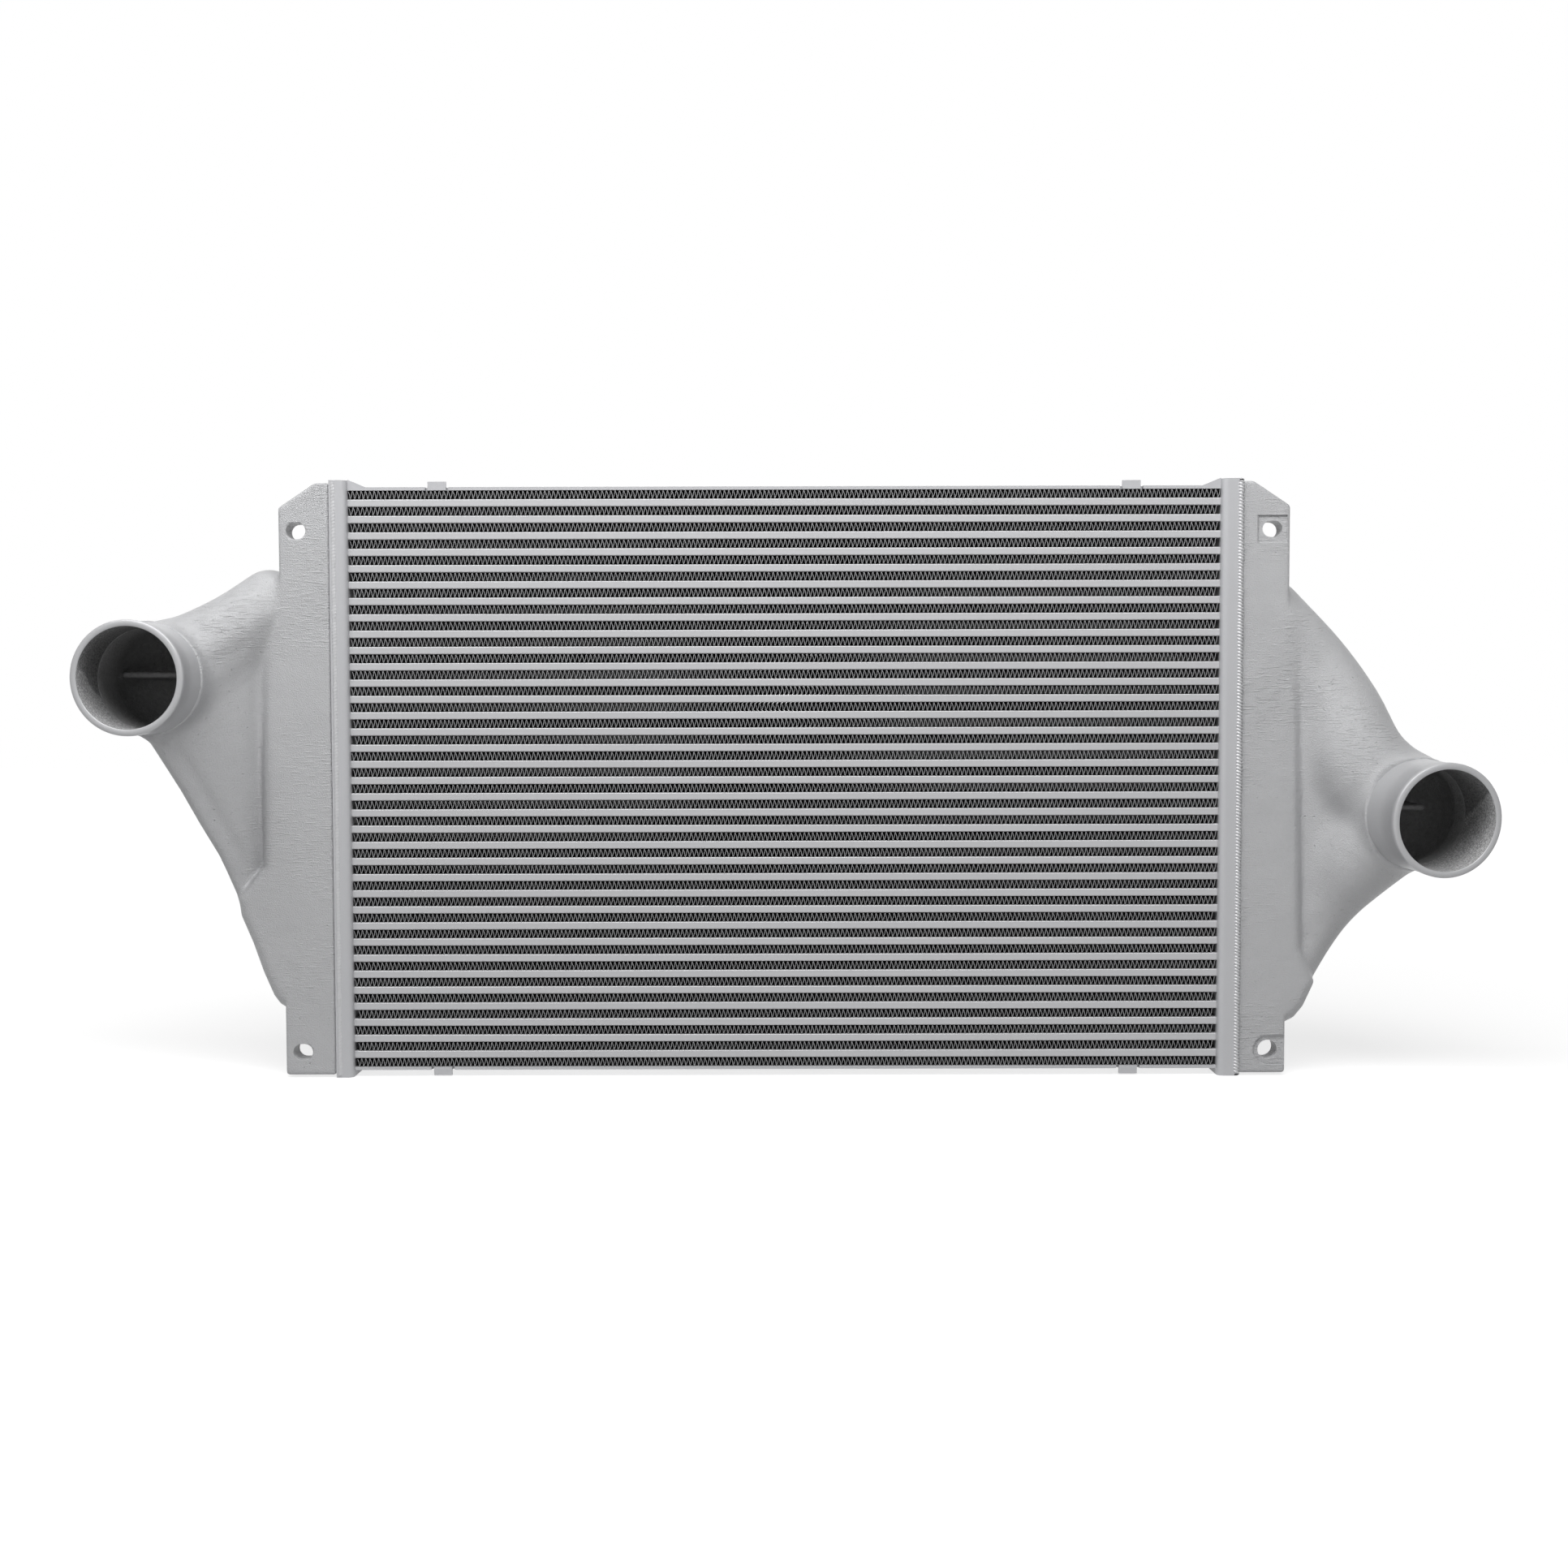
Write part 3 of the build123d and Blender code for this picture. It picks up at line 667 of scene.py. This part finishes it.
def skinOf(field, origin, cell):
    # one point in each cell that the skin passes, and a quad round each crossed grid edge
    inside = field < 0
    nx, ny, nz = field.shape
    total = np.zeros((nx - 1, ny - 1, nz - 1, 3), np.float32)
    hits = np.zeros((nx - 1, ny - 1, nz - 1), np.float32)
    corner = (slice(0, -1), slice(1, None))
    for axis in range(3):
        others = [a for a in range(3) if a != axis]
        for i in (0, 1):
            for j in (0, 1):
                near, far = [None] * 3, [None] * 3
                near[axis], far[axis] = corner[0], corner[1]
                near[others[0]] = far[others[0]] = corner[i]
                near[others[1]] = far[others[1]] = corner[j]
                first, second = field[tuple(near)], field[tuple(far)]
                crossed = inside[tuple(near)] != inside[tuple(far)]
                share = np.where(crossed, first / np.where(crossed, first - second, 1), 0)
                total[..., axis] += share
                total[..., others[0]] += crossed * i
                total[..., others[1]] += crossed * j
                hits += crossed
    cells = np.argwhere(hits > 0)
    index = np.full(hits.shape, -1, np.int32)
    index[tuple(cells.T)] = np.arange(len(cells))
    points = (cells + total[tuple(cells.T)] / hits[tuple(cells.T)][:, None]) * cell + origin
    quads = []
    for axis in range(3):
        b, c = (axis + 1) % 3, (axis + 2) % 3
        near = [slice(1, -1)] * 3
        far = [slice(1, -1)] * 3
        near[axis], far[axis] = slice(0, -1), slice(1, None)
        first, second = inside[tuple(near)], inside[tuple(far)]
        where = np.argwhere(first != second)
        rising = first[tuple(where.T)]
        where[:, b] += 1
        where[:, c] += 1
        ring = []
        for sb, sc in ((1, 1), (0, 1), (0, 0), (1, 0)):
            at = where.copy()
            at[:, b] -= sb
            at[:, c] -= sc
            ring.append(index[tuple(at.T)])
        ring = np.stack(ring, 1)
        quads.append(np.where(rising[:, None], ring, ring[:, ::-1]))
    return points, np.concatenate(quads)


neckShape = {"lip": 0.0008, "lipWidth": 0.006, "lipRamp": 0.0004, "ease": 0.0006, "tail": 0.003,
             "tailTaper": 0.0008, "seatBelow": 0.0004, "seatAbove": 0.0005, "midOuter": 0.018,
             "midBore": 0.02, "segments": 128}


def latheNeck(tank):
    # turned hose neck: wall, small lip at the mouth, tail sunk into the casting
    n = neckShape
    axis, _, base, _ = neckLine(tank)
    outerR, boreR, length = tankShape["neckRadius"], tankShape["boreRadius"], tank["neckLength"]
    lipR, lipStart, ease, taper = outerR + n["lip"], length - n["lipWidth"], n["ease"], n["tailTaper"]
    profile = [(boreR + taper, -n["tail"]), (outerR - taper, -n["tail"]), (outerR, -n["seatBelow"]),
               (outerR, n["seatAbove"]), (outerR, n["midOuter"]), (outerR, lipStart - n["lipRamp"]),
               (lipR, lipStart), (lipR, length - ease * 1.5), (lipR - ease, length), (boreR + ease, length),
               (boreR, length - ease), (boreR, n["midBore"]), (boreR, n["seatAbove"]),
               (boreR, -n["seatBelow"])]
    segments = n["segments"]
    across = np.cross(axis, (0, 0, 1))
    across /= np.linalg.norm(across)
    upward = np.cross(across, axis)
    points = []
    for index in range(segments):
        angle = 2 * math.pi * index / segments
        spoke = across * math.cos(angle) + upward * math.sin(angle)
        points += [base + axis * t + spoke * r for r, t in profile]
    faces = gridFaces(segments, len(profile), closeRows=True, closeColumns=True)
    isBore = np.arange(len(profile)) >= profile.index((boreR, length - ease))
    return np.array(points), faces, np.tile(isBore, segments)


def toFrame(points, side):
    placed = np.array(points, np.float64)
    placed[:, 0] = side * (weldLine + placed[:, 0])
    placed[:, 2] += coreMiddle
    return placed


def faceWay(faces, side, flip=False):
    return faces[:, ::-1] if (side < 0) != flip else faces


# Holes and machined seats, cut into the finished skin; past is how far a cutter goes beyond a face,
# hair is what keeps a round hole's two half circles apart
seatShape = {"slotWidth": 0.0152, "slotLength": 0.0184, "fromTop": 0.0445, "fromEdge": 0.0165,
             "roundRadius": 0.0092, "lowerRise": 0.022, "recess": 0.0015, "recessWidth": 0.027,
             "recessHeight": 0.025, "recessMargin": 0.0046, "past": 0.01, "hair": 0.00001}


def prismCutter(outline, yFront, yBack):
    count = len(outline)
    points = [(u, y, z) for y in (yFront, yBack) for u, z in outline]
    faces = [[i, (i + 1) % count, count + (i + 1) % count, count + i] for i in range(count)]
    faces += [list(range(count))[::-1], list(range(count, 2 * count))]
    return points, faces


def slotOutline(centre, length, width, steps=14):
    points = []
    for way in (1, -1):
        for index in range(steps + 1):
            angle = -math.pi / 2 + math.pi * index / steps + (0 if way > 0 else math.pi)
            points.append((centre[0] + way * (length - width) / 2 + width / 2 * math.cos(angle),
                           centre[1] + width / 2 * math.sin(angle)))
    return points


def cutSeats(piece, side):
    s = seatShape
    outX = tankShape["earReach"] - s["fromEdge"]
    upper = (outX, halfTank - s["fromTop"])
    lower = (outX, -halfTank + s["lowerRise"])
    through = (-s["past"], tankShape["earThickness"] + s["past"])
    cutters = [(slotOutline(upper, s["slotLength"], s["slotWidth"]), *through)]
    if side > 0:
        hw, hh = s["recessWidth"] / 2, s["recessHeight"] / 2
        square = [(upper[0] - hw, upper[1] - hh), (upper[0] + hw, upper[1] - hh),
                  (upper[0] + hw, upper[1] + hh), (upper[0] - hw, upper[1] + hh)]
        roundSeat = slotOutline((lower[0] + hw, lower[1]), 2 * s["recessWidth"],
                                2 * (s["roundRadius"] + s["recessMargin"]))
        roundHole = slotOutline(lower, 2 * s["roundRadius"] + s["hair"], 2 * s["roundRadius"])
        cutters += [(square, -s["past"], s["recess"]), (roundSeat, -s["past"], s["recess"]),
                    (roundHole, *through)]
    else:
        cutters.append((slotOutline(lower, s["slotLength"], s["slotWidth"]), *through))
    for outline, yFront, yBack in cutters:
        points, faces = prismCutter(outline, yFront, yBack)
        mesh = bpy.data.meshes.new("cutter")
        mesh.from_pydata([tuple(p) for p in toFrame(points, side)], [], faces)
        tool = bpy.data.objects.new("cutter", mesh)
        bpy.context.scene.collection.objects.link(tool)
        bpy.context.view_layer.objects.active = tool
        tool.select_set(True)
        bpy.ops.object.mode_set(mode="EDIT")
        bpy.ops.mesh.select_all(action="SELECT")
        bpy.ops.mesh.normals_make_consistent(inside=False)
        bpy.ops.object.mode_set(mode="OBJECT")
        tool.select_set(False)
        cut = piece.modifiers.new("seat", "BOOLEAN")
        cut.operation, cut.object = "DIFFERENCE", tool
        # a solver that fails leaves an empty mesh, so the next one is tried
        for solver in ("EXACT", "MANIFOLD", "FLOAT"):
            cut.solver = solver
            bpy.context.view_layer.update()
            evaluated = piece.evaluated_get(bpy.context.evaluated_depsgraph_get())
            finished = bpy.data.meshes.new_from_object(evaluated)
            if len(finished.polygons) > len(piece.data.polygons) / 2:
                break
        piece.modifiers.clear()
        piece.data = finished
        bpy.data.objects.remove(tool)


def buildTank(tank, name):
    side, cell = tank["side"], gridShape["cell"]
    margin = gridShape["margin"] * cell
    us = np.arange(-margin, tank["neckOut"] + gridShape["pastNeck"], cell, dtype=np.float32)
    ys = np.arange(gridShape["front"], gridShape["back"], cell, dtype=np.float32)
    zs = np.arange(-halfTank - margin, halfTank + margin, cell, dtype=np.float32)
    field, hollow = tankField(tank, us[:, None, None], ys[None, :, None], zs[None, None, :])
    field = field.astype(np.float32)
    origin = np.array([us[0], ys[0], zs[0]])
    points, quads = skinOf(field, origin, cell)
    at = ((points[quads].mean(1) - origin) / cell).round().astype(int)
    at = np.clip(at, 0, np.array(field.shape) - 1)
    # faces of the hollow get the darker colour, painted shade inside the casting
    hollowShadeFaces = hollow[tuple(at.T)] < gridShape["skinLimit"]
    piece = makeMesh(name + "_casting", toFrame(points, side), faceWay(quads, side),
                     [paint["castCoat"], paint["innerCastPaintedShade"]], faceSlots=hollowShadeFaces)
    cutSeats(piece, side)
    dress(piece, "tank_casting", name, name.replace("tank", "funnel"))

    neckPoints, neckFaces, bore = latheNeck(tank)
    middle = toFrame([neckLine(tank)[2]], side)[0]
    neck = makeMesh(name + "_neck", toFrame(neckPoints, side), faceWay(neckFaces, side, flip=True),
                    [paint["neckCoat"], boreMaterial(side, tuple(middle))], faceSlots=bore)
    dress(neck, "tank_casting")
    print(name, "made:", len(piece.data.polygons), "faces")


# Weld beads: rope-like ripples on the right, fine stitches on the left

weldShape = {"sections": 10, "stepsPerPitch": 5, "proud": 0.0010, "endInset": 0.002, "slant": 1.98,
             "jitter": 0.4, "jitterKnots": 40, "swell": 0.12, "swellKnots": 70, "crest": 0.7,
             "flatness": 0.8, "seed": 5}

beadShapes = {"header_weld_left": dict(side=-1, radius=0.0025, pitch=0.0031, depth=0.0004, out=-0.0036),
              "header_weld_right": dict(side=1, radius=0.0030, pitch=0.0030, depth=0.0017, out=0.0016)}


def weldRun(start, end, outward, across, bead, seed):
    # half-round bead along a straight joint, with slanting ripples
    start, end, outward, across = (np.array(v, float) for v in (start, end, outward, across))
    rng = np.random.default_rng(seed)
    length = np.linalg.norm(end - start)
    count = int(length / bead["pitch"] * weldShape["stepsPerPitch"])
    sections = weldShape["sections"]
    along = np.linspace(0, length, count)

    def wander(most, knots):
        return np.interp(along, np.linspace(0, length, knots), rng.uniform(-most, most, knots))

    jitter = wander(weldShape["jitter"], weldShape["jitterKnots"])
    swell = wander(weldShape["swell"], weldShape["swellKnots"])
    points = np.zeros((count, sections + 1, 3))
    way = (end - start) / length
    for index in range(sections + 1):
        angle = math.pi * index / sections
        phase = 2 * math.pi * along / bead["pitch"] + math.cos(angle) * weldShape["slant"] + jitter
        ripple = np.abs(np.sin(phase / 2)) ** weldShape["crest"]
        r = bead["radius"] * (1 + swell) - bead["depth"] * (1 - ripple)
        points[:, index] = (start + np.outer(along, way) + np.outer(r * math.cos(angle), across)
                            + np.outer(r * math.sin(angle) * weldShape["flatness"], outward))
    return points.reshape(-1, 3), gridFaces(count, sections + 1)


def buildWelds():
    for name, bead in beadShapes.items():
        x = bead["side"] * (weldLine + bead["out"])
        lowest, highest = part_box(name)
        front, back = -weldShape["proud"], tankShape["depth"] + weldShape["proud"]
        bottom, top = lowest.z + weldShape["endInset"], highest.z - weldShape["endInset"]
        across = (bead["side"], 0, 0)
        runs = [((x, front, bottom), (x, front, top), (0, -1, 0)),
                ((x, back, bottom), (x, back, top), (0, 1, 0)),
                ((x, front, top), (x, back, top), (0, 0, 1)),
                ((x, front, bottom), (x, back, bottom), (0, 0, -1))]
        allPoints, allFaces, used = [], [], 0
        for index, (start, end, outward) in enumerate(runs):
            points, faces = weldRun(start, end, outward, across, bead, weldShape["seed"] + index)
            way = np.cross(np.array(end) - np.array(start), across) @ np.array(outward)
            allPoints.append(points)
            allFaces.append((faces if way < 0 else faces[:, ::-1]) + used)
            used += len(points)
        piece = makeMesh(name + "_bead", np.concatenate(allPoints), np.concatenate(allFaces),
                         [paint["weldCoat"]])
        dress(piece, "weld_bead", name)
    print("welds made")


def dressFrameNodes():
    # nodes whose solids are right as they are
    sheetNames = ["header_left", "header_right", "side_plate_top", "side_plate_bottom"]
    for name in sheetNames + stripNames:
        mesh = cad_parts[name].data
        mesh.materials.clear()
        # the turbulators take the near-black painted shade colour of the fin sides
        mesh.materials.append(paint["sheetCoat" if name in sheetNames else "finAndStripPaintedShade"])
    print("frame nodes dressed:", len(sheetNames + stripNames))


# Floor, backdrop, lamps and camera

stageShape = {"floorSize": 16.0, "floorColor": (0.55, 0.55, 0.55, 1), "floorRoughness": 0.9,
              "nearGlow": 0.74, "glowSpan": (0.7, 2.6), "worldLight": 0.13}

lampShapes = {"keyLamp": dict(place=(-0.15, -0.70, 0.95), target=(0, 0, -0.05), wide=2.1, high=0.7,
                              power=23.0),
              "frontLamp": dict(place=(-0.9, -3.0, 0.5), target=(0, 0, -0.25), wide=2.4, high=2.4,
                                power=2.5)}


def shownRays(nodes, links):
    # 1 for the rays that show the background: seen, mirrored or through clear pieces
    rays = nodes.new("ShaderNodeLightPath").outputs
    mirrored = mathNode(nodes, links, "MAXIMUM", rays["Is Glossy Ray"], rays["Is Transmission Ray"])
    return mathNode(nodes, links, "MAXIMUM", rays["Is Camera Ray"], mirrored)


def buildFloor():
    # pale and matt round the part, where its shadow falls, and plain white further off
    half = stageShape["floorSize"] / 2
    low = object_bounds()[0]
    corners = [(-half, -half, low.z), (half, -half, low.z), (half, half, low.z), (-half, half, low.z)]
    floor = makeMesh("floor", corners, [(0, 1, 2, 3)], [], smooth=False)
    material = bpy.data.materials.new("paleFloor")
    material.use_nodes = True
    nodes, links = material.node_tree.nodes, material.node_tree.links
    shader = nodes["Principled BSDF"]
    shader.inputs["Base Color"].default_value = stageShape["floorColor"]
    shader.inputs["Roughness"].default_value = stageShape["floorRoughness"]
    shader.inputs["Specular IOR Level"].default_value = 0.0
    shader.inputs["Emission Color"].default_value = (1, 1, 1, 1)
    place = nodes.new("ShaderNodeTexCoord").outputs["Object"]
    length = nodes.new("ShaderNodeVectorMath")
    length.operation = "LENGTH"
    links.new(stretch(nodes, links, place, (1.0, 1.0, 0.0)), length.inputs[0])
    far = rampNode(nodes, links, length.outputs["Value"], stageShape["glowSpan"])
    rise = mathNode(nodes, links, "MULTIPLY", far, 1 - stageShape["nearGlow"])
    glow = mathNode(nodes, links, "ADD", rise, stageShape["nearGlow"])
    glow = mathNode(nodes, links, "MULTIPLY", glow, shownRays(nodes, links))
    links.new(glow, shader.inputs["Emission Strength"])
    floor.data.materials.append(material)


def buildWorld():
    world = bpy.data.worlds.new("studio")
    bpy.context.scene.world = world
    world.use_nodes = True
    nodes, links = world.node_tree.nodes, world.node_tree.links
    sky = nodes["Background"]
    sky.inputs["Color"].default_value = (1, 1, 1, 1)
    shown = shownRays(nodes, links)
    links.new(mathNode(nodes, links, "MAXIMUM", shown, stageShape["worldLight"]), sky.inputs["Strength"])


def buildLamps():
    for name, shape in lampShapes.items():
        lamp = bpy.data.lights.new(name, "AREA")
        lamp.shape = "RECTANGLE"
        lamp.size, lamp.size_y, lamp.energy = shape["wide"], shape["high"], shape["power"]
        holder = bpy.data.objects.new(name, lamp)
        holder.location = shape["place"]
        aim = Vector(shape["target"]) - Vector(shape["place"])
        holder.rotation_euler = aim.to_track_quat("-Z", "Y").to_euler()
        bpy.context.scene.collection.objects.link(holder)


cameraShape = {"focalPixels": 2200.0, "imagePixels": 1932.0, "sensor": 36.0, "clip": (0.05, 60),
               "place": (-0.00075, -1.66596, -0.15908), "pitch": -2.65, "roll": -0.137}


def buildCamera():
    data = bpy.data.cameras.new("camera")
    data.sensor_width = cameraShape["sensor"]
    data.lens = cameraShape["focalPixels"] / cameraShape["imagePixels"] * cameraShape["sensor"]
    data.clip_start, data.clip_end = cameraShape["clip"]
    camera = bpy.data.objects.new("camera", data)
    look = Matrix.Rotation(math.radians(90 + cameraShape["pitch"]), 4, "X")
    roll = Matrix.Rotation(math.radians(cameraShape["roll"]), 4, "Z")
    camera.matrix_world = Matrix.Translation(cameraShape["place"]) @ look @ roll
    bpy.context.scene.collection.objects.link(camera)
    bpy.context.scene.camera = camera
    bpy.context.scene.view_settings.view_transform = "Standard"


buildCamera()
buildFins()
buildTubes()
buildTank(leftTank, "tank_left")
buildTank(rightTank, "tank_right")
buildWelds()
dressFrameNodes()
buildFloor()
buildWorld()
buildLamps()
print("floor, world and lamps made")

print("scene done")
